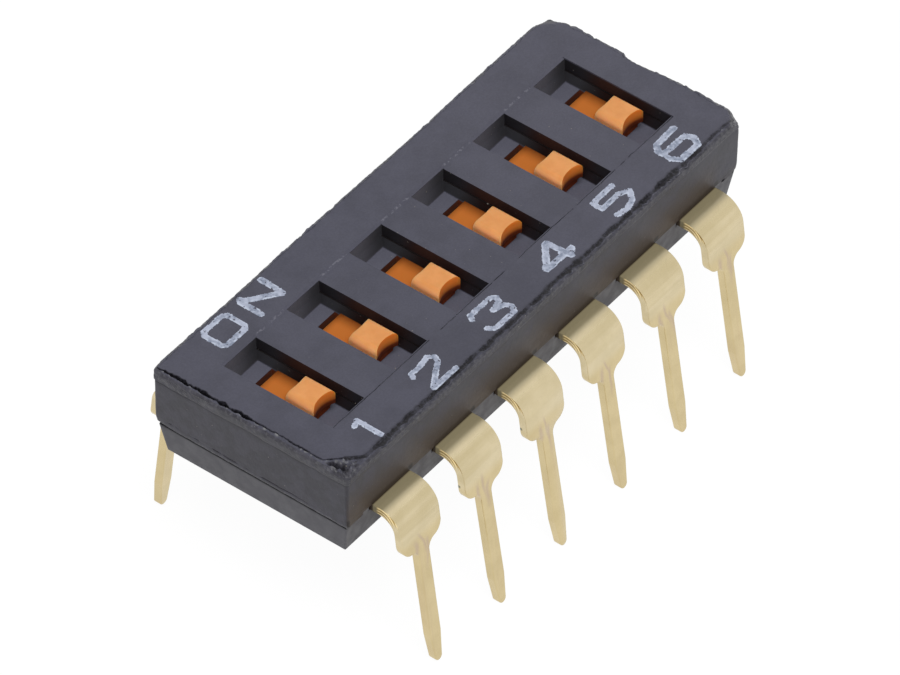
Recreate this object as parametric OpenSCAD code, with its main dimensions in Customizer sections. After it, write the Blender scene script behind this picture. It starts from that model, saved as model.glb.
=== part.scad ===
// Slide DIP switch, six poles, through-hole terminals.
// Millimetres. +Z is up, +X runs along the row from pole 1 to pole 6, and -Y is the numbered side.
// The origin is the centre of the underside of the case.

/* [Case] */
// Distance from one switch to the next
pitch = 2.54; // [2.4:0.01:3]
// From the middle of the first or last switch to the end of the case
end_margin = 1.76; // [1.65:0.01:2.6]
// Width of the case across the row
case_w = 6.16; // [5.9:0.01:7.4]
// Height of the case, from its underside to its top
case_h = 2.98; // [2.9:0.01:3.6]
// Radius of the upright edges of the cover
corner_r = 0.08; // [0.03:0.01:0.3]
// How far the band round the top of the cover stands out
band_out = 0.05; // [0.02:0.01:0.08]
// Height of the band round the top of the cover, with its bevel
band_h = 0.34; // [0.2:0.01:0.8]
// Width of the bevel along the upper edges of the band
bevel_w = 0.06; // [0.02:0.01:0.12]
// Height of the bevel along the upper edges of the band
bevel_h = 0.08; // [0.02:0.01:0.12]
// Distance from the walls of the cover to the raised top face
face_inset = 0.09; // [0.05:0.01:0.2]
// Height of the raised top face above the border round it
face_rise = 0.03; // [0.01:0.01:0.06]
// Length of the corner cut off the top face at the first switch
index_cut = 0.75; // [0.3:0.01:1]
// Drop of the strip that the windows open through, below the top
strip_drop = 0.04; // [0.01:0.01:0.08]

/* [Windows] */
// Width of a window along the row
window_w = 1.31; // [1.2:0.01:1.4]
// Length of a window across the row
window_l = 3.51; // [3.4:0.01:3.9]
// Depth from the top of the case to the floor of a window
window_d = 0.82; // [0.78:0.01:0.88]
// How much the end walls of a window lean in by its floor
window_lean = 0.095; // [0:0.005:0.1]
// Depth at which the side walls of a window step in
side_step_d = 0.42; // [0.25:0.01:0.6]
// How far each side wall of a window steps in
side_step = 0.02; // [0.01:0.005:0.04]
// Thickness of the floor that the actuators hang under
floor_t = 0.25; // [0.2:0.01:0.28]
// Width of the inner chamber of each switch
chamber_w = 1.86; // [1.84:0.01:2.1]
// Length of the inner chamber of each switch
chamber_l = 4.6; // [4.1:0.05:5]

/* [Base] */
// Height of the long sides of the cover, from the joint line to the top
cover_h = 1.8; // [1.7:0.01:1.9]
// Drop from the joint line to the step on which the ends of the cover rest
ledge_drop = 0.2; // [0.14:0.01:0.5]
// How far the base stands back from the cover at the joint
base_back = 0.055; // [0.02:0.005:0.08]
// Taper of each end of the base, from joint to underside
end_taper = 0.14; // [0:0.01:0.3]
// Taper of each long side of the base, from joint to underside
side_taper = 0.18; // [0:0.01:0.25]
// Length of the cover's skirt at each end of the case
skirt_l = 0.6; // [0.3:0.01:0.7]
// Gap between the cover and the base
joint_gap = 0.02; // [0.01:0.005:0.03]

/* [Actuators] */
// Travel from off to on
travel = 0.78; // [0.6:0.01:0.82]
// Width of the knob and of the deck behind it
knob_w = 0.88; // [0.7:0.01:1]
// Length of the knob along its travel
knob_l = 0.89; // [0.6:0.01:0.95]
// Depth of the top of the knob below the top of the case
knob_drop = 0.02; // [0:0.01:0.1]
// From the middle of the case to the off end of the knob
knob_off_y = 0.977; // [0.93:0.001:1.05]
// Radius of the long upper edges of the knob
knob_r = 0.18; // [0.08:0.01:0.22]
// Depth of the hollow in the off end of the knob
scoop_off = 0.12; // [0.05:0.01:0.15]
// Depth of the hollow in the on end of the knob
scoop_on = 0.035; // [0.02:0.005:0.06]
// Height of the knob above the deck
knob_h = 0.49; // [0.4:0.01:0.55]
// Gap between the deck and the end wall of its window when on
stop_gap = 0.02; // [0.01:0.005:0.05]
// How far the off end of the knob hangs over the deck
overhang = 0.17; // [0.1:0.01:0.22]
// Length of the neck that passes through the floor
neck_l = 1.12; // [0.9:0.01:1.2]
// How far the neck stands back from the off end of the deck
neck_back = 0.09; // [0.05:0.01:0.2]
// Width of the flange under the floor
flange_w = 1.8; // [1.6:0.01:1.82]
// Length of the flange under the floor
flange_l = 1.75; // [1.6:0.01:1.9]
// Thickness of the flange
flange_t = 0.28; // [0.2:0.01:0.3]
// From the middle of the case to the off end of the flange
flange_off_y = 1.17; // [1.1:0.01:1.25]
// Running clearance of the actuator against the cover
run_gap = 0.03; // [0.02:0.005:0.04]

/* [Bridging contacts] */
// Thickness of the contact spring
spring_t = 0.09; // [0.06:0.01:0.11]
// Width of the contact spring
spring_w = 0.7; // [0.5:0.01:0.9]
// Distance between the two wiping points of the spring
wipe_l = 0.9; // [0.85:0.01:0.96]
// Length of the flat middle of the spring
spring_flat = 0.5; // [0.4:0.01:0.55]
// Distance from a wiping point to the end of the terminal when off
wipe_back = 0.1; // [0.08:0.01:0.14]
// Radius of each wiping point
wipe_r = 0.07; // [0.06:0.005:0.09]
// Diameter of the stud that carries the spring
stud_d = 0.26; // [0.2:0.01:0.3]
// Length of the stud below the flange
stud_h = 0.16; // [0.13:0.01:0.2]
// Clearance of the spring round its stud
stud_gap = 0.02; // [0.01:0.005:0.04]
// Diameter of the staked head that holds the spring on its stud
head_d = 0.4; // [0.36:0.01:0.42]
// Gap between the wiping points and the terminals
wipe_gap = 0.02; // [0.01:0.005:0.03]

/* [Terminals] */
// Thickness of the terminals
term_t = 0.25; // [0.2:0.01:0.3]
// Width of the broad part of a terminal
term_w = 1.52; // [1.3:0.01:1.6]
// Depth of the terminals below the joint line
term_drop = 0.04; // [0.03:0.005:0.06]
// From the case wall to where a terminal starts to bend
term_out = 0.18; // [0.1:0.01:0.3]
// Inner radius of the bend
bend_r = 0.5; // [0.35:0.01:0.6]
// Outward lean of the legs, in degrees
splay = 6.9; // [0:0.1:10]
// Depth of the shoulders below the underside of the case
shoulder_z = 0.31; // [0.15:0.01:0.6]
// Radius of the rounded shoulders
shoulder_r = 0.36; // [0.3:0.01:0.4]
// Radius of the hollow between a shoulder and the leg
fillet_r = 0.28; // [0.2:0.01:0.34]
// Width of the narrow part of a leg
leg_w = 0.42; // [0.3:0.01:0.5]
// Length of the legs below the underside of the case
leg_z = 4.31; // [3:0.01:4.6]
// Length of the first leg on the numbered side
first_leg_z = 4.22; // [3:0.01:4.6]
// Length of the legs on the on side
on_leg_z = 4.22; // [3:0.01:4.6]
// Length of the taper at the end of a leg
taper_l = 0.9; // [0.6:0.01:1.5]
// Width of the rounded tip of a leg
tip_w = 0.26; // [0.18:0.01:0.3]
// Sideways drift of the tips on the numbered side
tip_drift = 0.12; // [0:0.01:0.2]
// Sideways drift of the first tip on the numbered side
first_drift = 0.04; // [0:0.01:0.2]
// From the middle of the case to the inner end of the numbered-side terminals
off_pad_y = 0.05; // [0.03:0.005:0.08]
// From the middle of the case to the inner end of the on-side terminals
on_pad_y = 0.25; // [0.2:0.01:0.3]
// Clearance of a terminal in its groove, each side
groove_gap = 0.02; // [0.01:0.005:0.03]

/* [Hidden] */
$fn = 48;

poles = 6;
case_l = (poles - 1) * pitch + 2 * end_margin;
window_x = window_w / 2;
window_y = window_l / 2;
lower_x = window_x - side_step;
floor_z = case_h - window_d;
floor_under_z = floor_z - floor_t;
border_z = case_h - face_rise;
band_z = border_z - band_h;
joint_h = case_h - cover_h;
ledge_h = joint_h - ledge_drop;
cut = 1;          // how far a cut runs past the face it leaves by

// the actuator, from its off end
knob_top_z = case_h - knob_drop;
deck_top_z = knob_top_z - knob_h;
deck_z = floor_z + run_gap;
deck_off_y = -knob_off_y + overhang;
knob_on_y = -knob_off_y + knob_l;
deck_on_y = window_y - window_lean - stop_gap - travel;
neck_off_y = deck_off_y + neck_back;
slot_off_y = neck_off_y - run_gap;
slot_on_y = neck_off_y + neck_l + travel + run_gap;
flange_top_z = floor_under_z - run_gap;
flange_z = flange_top_z - flange_t;

// the terminals
term_top_z = joint_h - term_drop;
term_z = term_top_z - term_t;
outer_r = bend_r + term_t;
bend_y = case_w / 2 + term_out;
bend_z = term_z - bend_r;
leg_turn = 90 - splay;
run_l = 2 * leg_z;         // longer than any leg, trimmed by the front outline
// centres of a shoulder and of the hollow below it, whose circles touch
shoulder_x = term_w / 2 - shoulder_r;
shoulder_mid_z = shoulder_r - shoulder_z;
hollow_x = leg_w / 2 + fillet_r;
hollow_z = shoulder_mid_z - sqrt(pow(shoulder_r + fillet_r, 2) - pow(hollow_x - shoulder_x, 2));

// the contact spring, whose middle line runs halfway through its thickness
wipe_z = term_top_z + wipe_gap + wipe_r;
spring_y = -off_pad_y - wipe_back - wipe_l / 2;
spring_flat_z = flange_z - spring_t / 2;
spring_tip = (spring_flat_z - wipe_z) / 2;    // rise of each turned-up end

function pole_x(i) = (i - (poles - 1) / 2) * pitch;

// ---- outlines ----

module rounded_plan(l, w, r) {
    square([l - 2 * r, w], center = true);
    square([l, w - 2 * r], center = true);
    for (x = [-1, 1], y = [-1, 1])
        translate([x * (l / 2 - r), y * (w / 2 - r)]) circle(r);
}

// a strip of thickness t along the points, with round joints
module stroke(points, t) {
    for (i = [0 : len(points) - 2]) {
        step = points[i + 1] - points[i];
        translate(points[i]) rotate(atan2(step[1], step[0]))
            translate([0, -t / 2]) square([norm(step), t]);
    }
    for (i = [1 : len(points) - 2]) translate(points[i]) circle(t / 2);
}

// extrudes a Y-Z outline along X, centred on x = 0
module along_x(w) {
    rotate([90, 0, 90]) linear_extrude(w, center = true) children();
}

// extrudes an X-Z outline along Y, between y0 and y1
module along_y(y0, y1) {
    translate([0, y1, 0]) rotate([90, 0, 0]) linear_extrude(y1 - y0) children();
}

// ---- cover ----

// a window, from the top down to its floor, narrower under the side step
module window_cut() {
    for (part = [[window_x, case_h + cut, case_h - side_step_d],
                 [lower_x, case_h - side_step_d + side_step, floor_z]])
        intersection() {
            along_x(2 * part[0]) polygon([
                [-window_y, case_h + cut], [-window_y, case_h],
                [-window_y + window_lean, floor_z], [window_y - window_lean, floor_z],
                [window_y, case_h], [window_y, case_h + cut]]);
            translate([-case_w, -case_w, part[2]])
                cube([2 * case_w, 2 * case_w, part[1] - part[2]]);
        }
}

// upright section of the band, for a cover that is w wide
module band_section(w) {
    out = w / 2 + band_out;
    polygon([[-out, band_z], [out, band_z], [out, border_z - bevel_h], [out - bevel_w, border_z],
             [-out + bevel_w, border_z], [-out, border_z - bevel_h]]);
}

// the raised top face, with one corner cut off
module top_face() {
    x = case_l / 2 - face_inset;
    y = case_w / 2 - face_inset;
    polygon([[-x + index_cut, -y], [x, -y], [x, y], [-x, y], [-x, -y + index_cut]]);
}

module cover() {
    color("dimgray") difference() {
        union() {
            translate([0, 0, ledge_h + joint_gap])
                linear_extrude(border_z - ledge_h - joint_gap)
                rounded_plan(case_l, case_w, corner_r);
            intersection() {
                along_x(2 * case_l) band_section(case_w);
                along_y(-case_w, case_w) band_section(case_l);
                translate([0, 0, band_z]) linear_extrude(band_h) rounded_plan(
                    case_l + 2 * band_out, case_w + 2 * band_out, corner_r + band_out);
            }
            translate([0, 0, band_z]) linear_extrude(case_h - band_z) top_face();
        }
        // room for the base between the end skirts
        translate([-case_l / 2 + skirt_l, -case_w, 0])
            cube([case_l - 2 * skirt_l, 2 * case_w, joint_h]);
        // the lower strip between the two margins
        translate([pole_x(0) - window_x, -window_y, case_h - strip_drop])
            cube([(poles - 1) * pitch + window_w, window_l, cut]);
        for (i = [0 : poles - 1]) translate([pole_x(i), 0, 0]) {
            window_cut();
            translate([-lower_x, slot_off_y, floor_under_z - floor_t])
                cube([2 * lower_x, slot_on_y - slot_off_y, 3 * floor_t]);
            translate([-chamber_w / 2, -chamber_l / 2, 0])
                cube([chamber_w, chamber_l, floor_under_z]);
        }
    }
}

// ---- base ----

module groove_cut(y0, y1) {
    translate([-term_w / 2 - groove_gap, y0, term_z])
        cube([term_w + 2 * groove_gap, y1 - y0, joint_h]);
}

module base() {
    top_x = case_l / 2 - base_back;
    top_y = case_w / 2 - base_back;
    inner_x = case_l / 2 - skirt_l - joint_gap;
    top_z = joint_h - joint_gap;
    color("gray") difference() {
        intersection() {
            along_y(-case_w, case_w) polygon([
                [-top_x + end_taper, 0], [top_x - end_taper, 0], [top_x, ledge_h],
                [inner_x, ledge_h], [inner_x, top_z], [-inner_x, top_z],
                [-inner_x, ledge_h], [-top_x, ledge_h]]);
            along_x(2 * case_l) polygon([
                [-top_y + side_taper, 0], [top_y - side_taper, 0],
                [top_y, top_z], [-top_y, top_z]]);
        }
        for (i = [0 : poles - 1]) translate([pole_x(i), 0, 0]) {
            groove_cut(-case_w, -off_pad_y + groove_gap);
            groove_cut(on_pad_y - groove_gap, case_w);
        }
    }
}

// ---- actuators ----

// a shallow round hollow, "deep" deep over the width of the knob
module scoop_cut(deep, h) {
    r = (knob_w * knob_w / 4 + deep * deep) / (2 * deep);
    translate([0, deep - r, 0]) cylinder(h = h, r = r, $fn = 96);
}

module slider() {
    color("orange") difference() {
        union() {
            // knob, round along its upper edges
            along_y(-knob_off_y, knob_on_y) {
                translate([-knob_w / 2, deck_top_z]) square([knob_w, knob_h - knob_r]);
                translate([-knob_w / 2 + knob_r, deck_top_z])
                    square([knob_w - 2 * knob_r, knob_h]);
                for (x = [-1, 1])
                    translate([x * (knob_w / 2 - knob_r), knob_top_z - knob_r]) circle(knob_r);
            }
            // deck, and the core that joins it to the knob
            translate([-knob_w / 2, deck_off_y, deck_z])
                cube([knob_w, deck_on_y - deck_off_y, deck_top_z - deck_z]);
            translate([-knob_w / 2, deck_off_y, deck_z])
                cube([knob_w, knob_on_y - scoop_on - deck_off_y, knob_top_z - knob_r - deck_z]);
            // neck through the floor
            translate([-knob_w / 2, neck_off_y, flange_z])
                cube([knob_w, neck_l, deck_top_z - flange_z]);
            // flange under the floor
            translate([-flange_w / 2, -flange_off_y, flange_z])
                cube([flange_w, flange_l, flange_t]);
            // stud with its staked head under the spring
            translate([0, spring_y, flange_z - stud_h]) {
                cylinder(h = stud_h, d = stud_d);
                cylinder(h = stud_h - spring_t, d = head_d);
            }
        }
        translate([0, -knob_off_y, deck_top_z]) scoop_cut(scoop_off, knob_h + cut);
        translate([0, knob_on_y, deck_top_z]) mirror([0, 1, 0]) scoop_cut(scoop_on, knob_h + cut);
    }
}

// ---- bridging contacts ----

module contact() {
    half = wipe_l / 2;
    color("khaki") translate([0, spring_y, 0]) difference() {
        along_x(spring_w) {
            translate([-spring_flat / 2, flange_z - spring_t]) square([spring_flat, spring_t]);
            for (side = [-1, 1]) {
                stroke([[side * (spring_flat / 2 - spring_t), spring_flat_z],
                        [side * spring_flat / 2, spring_flat_z],
                        [side * half, wipe_z],
                        [side * (half + spring_tip / 2), wipe_z + spring_tip]], spring_t);
                translate([side * half, wipe_z]) circle(wipe_r);
            }
        }
        translate([0, 0, flange_z - 2 * spring_t])
            cylinder(h = 3 * spring_t, d = stud_d + 2 * stud_gap);
    }
}

// ---- terminals ----

// side view of all that lies under one face of a terminal's sheet, r from the bend's centre
module under_face(pad_y, r) {
    translate([pad_y, bend_z - run_l]) square([bend_y - pad_y, run_l + r]);
    translate([bend_y, bend_z]) {
        circle(r, $fn = 96);
        rotate(-leg_turn) translate([0, -2 * outer_r]) square([run_l, 2 * outer_r + r]);
    }
}

// front view of the broad part, with rounded shoulders that run into the leg
module shoulder_front() {
    difference() {
        union() {
            translate([-term_w / 2, shoulder_mid_z]) square([term_w, joint_h - shoulder_mid_z]);
            for (x = [-1, 1]) translate([x * shoulder_x, shoulder_mid_z]) circle(shoulder_r);
            polygon([[-shoulder_x, shoulder_mid_z], [-hollow_x, hollow_z],
                     [hollow_x, hollow_z], [shoulder_x, shoulder_mid_z]]);
        }
        for (x = [-1, 1]) translate([x * hollow_x, hollow_z]) circle(fillet_r);
    }
}

// front view of a leg of length l, whose tip stands "drift" to the side
module leg_front(l, drift) {
    leg = leg_w / 2;
    tip = tip_w / 2;
    taper_z = taper_l - l;
    taper_x = drift * (hollow_z - taper_z) / (l + hollow_z);
    neck_z = hollow_z + fillet_r / 2;
    polygon([[-leg, neck_z], [leg, neck_z], [leg, hollow_z], [leg + taper_x, taper_z],
             [drift + tip, tip - l], [drift - tip, tip - l],
             [-leg + taper_x, taper_z], [-leg, hollow_z]]);
}

module terminal(pad_y, l, drift) {
    color("tan") intersection() {
        along_x(term_w) difference() {
            under_face(pad_y, outer_r);
            under_face(pad_y, bend_r);
        }
        union() {
            along_y(0, case_w) shoulder_front();
            along_y(0, case_w) leg_front(l, drift);
            along_y(0, case_w) translate([drift, tip_w / 2 - l]) circle(tip_w / 2);
        }
    }
}

module number_terminal(i) {
    translate([pole_x(i), 0, 0]) mirror([0, 1, 0])
        terminal(off_pad_y, i == 0 ? first_leg_z : leg_z, i == 0 ? first_drift : tip_drift);
}

module on_terminal(i) {
    translate([pole_x(i), 0, 0]) terminal(on_pad_y, on_leg_z, 0);
}

// ---- the whole switch ----

cover();
base();
for (i = [0 : poles - 1]) {
    translate([pole_x(i), 0, 0]) slider();
    translate([pole_x(i), 0, 0]) contact();
    number_terminal(i);
    on_terminal(i);
}
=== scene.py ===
import math

import bmesh
import bpy
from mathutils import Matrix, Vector
from mathutils.noise import fractal


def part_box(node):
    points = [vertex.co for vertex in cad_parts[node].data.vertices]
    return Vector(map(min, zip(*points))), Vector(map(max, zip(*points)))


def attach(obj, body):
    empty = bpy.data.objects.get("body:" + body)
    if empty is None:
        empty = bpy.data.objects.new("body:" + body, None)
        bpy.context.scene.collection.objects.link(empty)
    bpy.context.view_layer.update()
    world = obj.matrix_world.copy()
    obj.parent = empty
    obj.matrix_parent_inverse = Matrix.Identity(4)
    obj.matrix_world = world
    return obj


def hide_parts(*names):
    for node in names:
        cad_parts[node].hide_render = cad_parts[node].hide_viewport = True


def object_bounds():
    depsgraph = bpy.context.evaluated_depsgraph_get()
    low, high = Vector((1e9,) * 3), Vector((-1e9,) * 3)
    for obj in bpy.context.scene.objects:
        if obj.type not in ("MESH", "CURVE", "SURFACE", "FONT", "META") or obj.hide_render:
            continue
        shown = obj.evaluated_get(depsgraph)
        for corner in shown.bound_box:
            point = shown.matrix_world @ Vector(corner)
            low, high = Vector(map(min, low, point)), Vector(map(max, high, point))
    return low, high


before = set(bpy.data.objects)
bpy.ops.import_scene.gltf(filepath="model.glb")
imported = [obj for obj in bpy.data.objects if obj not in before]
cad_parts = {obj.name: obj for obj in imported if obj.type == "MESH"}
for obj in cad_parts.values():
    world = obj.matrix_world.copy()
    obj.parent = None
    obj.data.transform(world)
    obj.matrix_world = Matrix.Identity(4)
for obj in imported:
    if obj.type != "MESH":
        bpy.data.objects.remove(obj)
cad_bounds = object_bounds()
MM = 0.001

# ---------------------------------------------------------------- sizes, in millimetres

# the switches, and where the frame has them and the cover
POLES = 6
cover_low, cover_high = (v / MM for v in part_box("cover"))
first, last = (sum(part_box(n), Vector()).x / 2 / MM for n in ("slider_1", "slider_6"))
PITCH = (last - first) / (POLES - 1)
TOP = cover_high.z
SEAM_Z = cover_low.z

# the cover as in part.scad: walls, band, raised face and its cut index corner
BAND_OUT = 0.05
WALL_X = cover_high.x - BAND_OUT
WALL_Y = cover_high.y - BAND_OUT
CORNER_R = 0.08
FACE_INSET = 0.09
FACE_RISE = 0.03
INDEX_CUT = 0.75
BAND_H = 0.34
BEVEL = 0.06
BEVEL_H = 0.08

# its windows: the strip they stand in, the step in their side walls, the floor and its slots
STRIP_DROP = 0.04
WINDOW_W, WINDOW_L, WINDOW_D, WINDOW_LEAN = 1.31, 3.51, 0.82, 0.095
STEP_D, STEP = 0.42, 0.02
FLOOR_Z, FLOOR_T = TOP - WINDOW_D, 0.25
SLOT_OFF, SLOT_ON = -0.747, 1.213

# its inside: the chambers, the end skirts and the lower edge of the long walls, which stand
# JOINT_FIT closer to the base than the CAD's clearance
CHAMBER_W, CHAMBER_L = 1.86, 4.6
JOINT_FIT = 0.015
SKIRT_L = 0.6 + JOINT_FIT
JOINT_Z = 1.18 - JOINT_FIT

# the sliders' deck and knob, the terminals' flat run and the middle of their bend, and the
# radius that the edges of the CAD's own nodes get
DECK_TOP = 2.47
KNOB_FRONT = -0.807
TERMINAL_RUN = 0.28
BEND_Y, BEND_Z = cover_high.y + 0.18, 0.64
EDGE_RADIUS = 0.03

# the shell: its raised face, the step between its columns of points, how many of them are on
# the wall, and how far inside the walls the columns begin
FACE_Z = TOP - 0.004
OUTLINE_STEP = 0.04
WALL_ROWS = 14
TOP_RING = 0.85

# wear of the upper edge: corner, reach, drop and pull at the far ON corner, the far numbered
# corner and the near ON corner
CORNER_WEAR = ((WALL_X, WALL_Y, 0.75, 0.17, 0.05), (WALL_X, -WALL_Y, 0.5, 0.22, 0.05),
               (-WALL_X, WALL_Y, 0.4, 0.03, 0.02))
# depth, middle and width of the hollows in the ON side's upper edge
ON_HOLLOWS = ((0.035, 2.3, 1.6), (0.02, -5.3, 1.8))
# the dent in the far end's upper edge: depth, and where along Y it begins and ends
DENT, DENT_BEGIN, DENT_END = 0.11, (-1.2, 0.3), (0.5, 0.68)
# the ear of plastic that stands up at the far ON corner
EAR_H, EAR_R = 0.09, 0.11
# tucks in the skirt's outer lower corners: corner, pull and height
CORNER_TUCK = ((-WALL_X, WALL_Y, 0.045, 0.3), (WALL_X, -WALL_Y, 0.022, 0.3),
               (WALL_X, -WALL_Y, 0.018, 1.5))
TUCK_R = 0.3


def pole_x(i):
    return first + i * PITCH


def srgb(r, g, b):
    """Linear colour of an 8-bit display colour."""
    def lin(c):
        c /= 255
        return c / 12.92 if c <= 0.04045 else ((c + 0.055) / 1.055) ** 2.4
    return (lin(r), lin(g), lin(b), 1)


# ---------------------------------------------------------------- camera and lamp

# angles in degrees, seen from the object; lengths in millimetres
CAMERA_AZIMUTH, CAMERA_ELEVATION, CAMERA_DISTANCE = -52.16, 45.46, 272.61
CAMERA_TARGET = (-2.754, -2.138, 2.98)
SENSOR, LENS = 36, 436.0


def direction(azimuth, elevation):
    """Unit vector from the object towards these angles."""
    a, e = math.radians(azimuth), math.radians(elevation)
    return Vector((math.sin(a) * math.cos(e), -math.cos(a) * math.cos(e), math.sin(e)))


def add_camera():
    back = direction(CAMERA_AZIMUTH, CAMERA_ELEVATION)
    data = bpy.data.cameras.new("camera")
    data.sensor_width = SENSOR
    data.lens = LENS
    data.clip_start = 0.005
    data.clip_end = 10
    camera = bpy.data.objects.new("camera", data)
    camera.location = Vector(CAMERA_TARGET) * MM + back * (CAMERA_DISTANCE * MM)
    camera.rotation_euler = back.to_track_quat("Z", "Y").to_euler()
    bpy.context.scene.collection.objects.link(camera)
    bpy.context.scene.camera = camera


def add_lamp(name, azimuth, elevation, distance, size, power):
    """An area lamp aimed at the object, with distance and size in metres."""
    data = bpy.data.lights.new(name, "AREA")
    data.energy = power
    data.size = size
    lamp = bpy.data.objects.new(name, data)
    lamp.location = direction(azimuth, elevation) * distance
    lamp.rotation_euler = lamp.location.to_track_quat("Z", "Y").to_euler()
    lamp.visible_glossy = False
    bpy.context.scene.collection.objects.link(lamp)


# ---------------------------------------------------------------- material nodes

class Nodes:
    """Short forms for building a material's nodes."""

    def __init__(self, name):
        self.material = bpy.data.materials.new(name)
        self.material.use_nodes = True
        self.tree = self.material.node_tree
        self.shader = self.tree.nodes["Principled BSDF"]
        self.out = self.tree.nodes["Material Output"]
        coords = self.add("ShaderNodeTexCoord")
        self.coords, self.normal = coords.outputs["Object"], coords.outputs["Normal"]

    def add(self, kind, **values):
        n = self.tree.nodes.new(kind)
        for k, v in values.items():
            setattr(n, k, v)
        return n

    def put(self, socket, value):
        if isinstance(value, bpy.types.NodeSocket):
            self.tree.links.new(value, socket)
        else:
            socket.default_value = value

    def math(self, operation, a, b=0.0, clamp=False):
        n = self.add("ShaderNodeMath", operation=operation, use_clamp=clamp)
        self.put(n.inputs[0], a)
        self.put(n.inputs[1], b)
        return n.outputs[0]

    def mapped(self, scale, shift=(0, 0, 0)):
        n = self.add("ShaderNodeMapping")
        self.put(n.inputs["Vector"], self.coords)
        n.inputs["Scale"].default_value = scale
        n.inputs["Location"].default_value = shift
        return n.outputs[0]

    def noise(self, size, detail=2.0, rough=0.5, stretch=(1, 1, 1), shift=(0, 0, 0)):
        """Noise whose features are about `size` millimetres long."""
        n = self.add("ShaderNodeTexNoise")
        self.put(n.inputs["Vector"], self.mapped(tuple(s / (size * MM) for s in stretch), shift))
        n.inputs["Scale"].default_value = 1.0
        n.inputs["Detail"].default_value = detail
        n.inputs["Roughness"].default_value = rough
        return n.outputs[0]

    def axis(self, name):
        """One coordinate, in millimetres."""
        n = self.add("ShaderNodeSeparateXYZ")
        self.put(n.inputs[0], self.coords)
        return self.math("DIVIDE", n.outputs[name], MM)

    def from_pole(self):
        """The distance in X from the middle of the nearest switch, in millimetres."""
        along = self.math("DIVIDE", self.math("SUBTRACT", self.axis("X"), pole_x(-0.5)), PITCH)
        return self.math("MULTIPLY", self.math("SUBTRACT", self.math("FRACT", along), 0.5), PITCH)

    def facing(self, name):
        """One part of the surface's normal in the object's frame."""
        n = self.add("ShaderNodeSeparateXYZ")
        self.put(n.inputs[0], self.normal)
        return n.outputs[name]

    def ramp(self, value, low, high, out_low=0.0, out_high=1.0):
        """A smooth step from out_low to out_high; low may be the larger one."""
        n = self.add("ShaderNodeMapRange", interpolation_type="SMOOTHSTEP")
        self.put(n.inputs["Value"], value)
        n.inputs["From Min"].default_value = low
        n.inputs["From Max"].default_value = high
        n.inputs["To Min"].default_value = out_low
        n.inputs["To Max"].default_value = out_high
        return n.outputs[0]

    def product(self, *values):
        result = values[0]
        for value in values[1:]:
            result = self.math("MULTIPLY", result, value)
        return result

    def away(self, a, b):
        """The distance between two numbers."""
        return self.math("ABSOLUTE", self.math("SUBTRACT", a, b))

    def mix(self, factor, a, b):
        n = self.add("ShaderNodeMix", data_type="RGBA")
        self.put(n.inputs[0], factor)
        self.put(n.inputs[6], a)
        self.put(n.inputs[7], b)
        return n.outputs[2]

    def bump(self, height, distance, strength):
        n = self.add("ShaderNodeBump")
        self.put(n.inputs["Height"], height)
        n.inputs["Distance"].default_value = distance * MM
        n.inputs["Strength"].default_value = strength
        return n.outputs[0]

    def finish(self, **inputs):
        """Sets the shader's inputs, named with _ for a space."""
        for k, v in inputs.items():
            self.put(self.shader.inputs[k.replace("_", " ")], v)
        return self.material


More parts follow.
